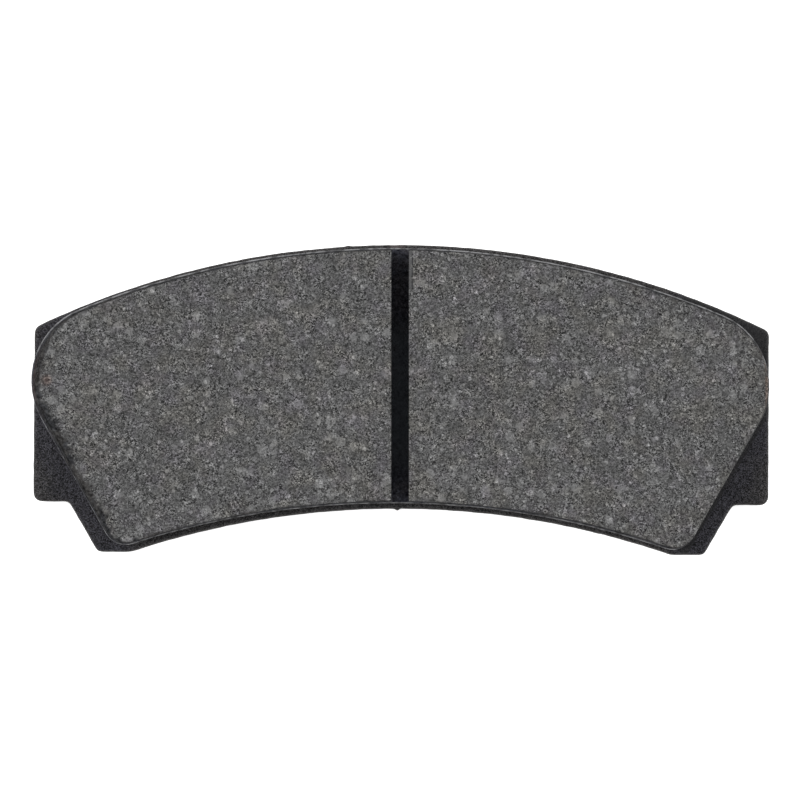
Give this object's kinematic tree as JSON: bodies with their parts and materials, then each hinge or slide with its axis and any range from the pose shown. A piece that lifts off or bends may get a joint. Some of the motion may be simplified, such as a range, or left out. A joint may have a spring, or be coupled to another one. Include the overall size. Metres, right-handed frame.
{
  "type": "brake pad",
  "caption": "Fixed-caliper disc brake pad: steel backing plate with two ears, bonded underlayer, and a friction block split by one central slot.",
  "frame": {"origin": "middle of the backing plate's back face, on the plane that the pad lies on", "axes": "+X along the pad, +Y towards the disc's outer rim, +Z out of the friction face"},
  "size_m": [0.1471, 0.0616, 0.0168],
  "materials": {
    "backing_plate": "black powder coat, fine texture, satin",
    "adhesive_film": "cured bonding adhesive",
    "underlayer": "moulded base layer, dark and matt",
    "friction_compound": "ground friction compound, matt grey with light flecks"
  },
  "bodies": {
    "root": {"backing_plate": "backing_plate", "adhesive_film": "adhesive_film", "underlayer": "underlayer", "friction_block_left": "friction_compound", "friction_block_right": "friction_compound"}
  },
  "joints": []
}
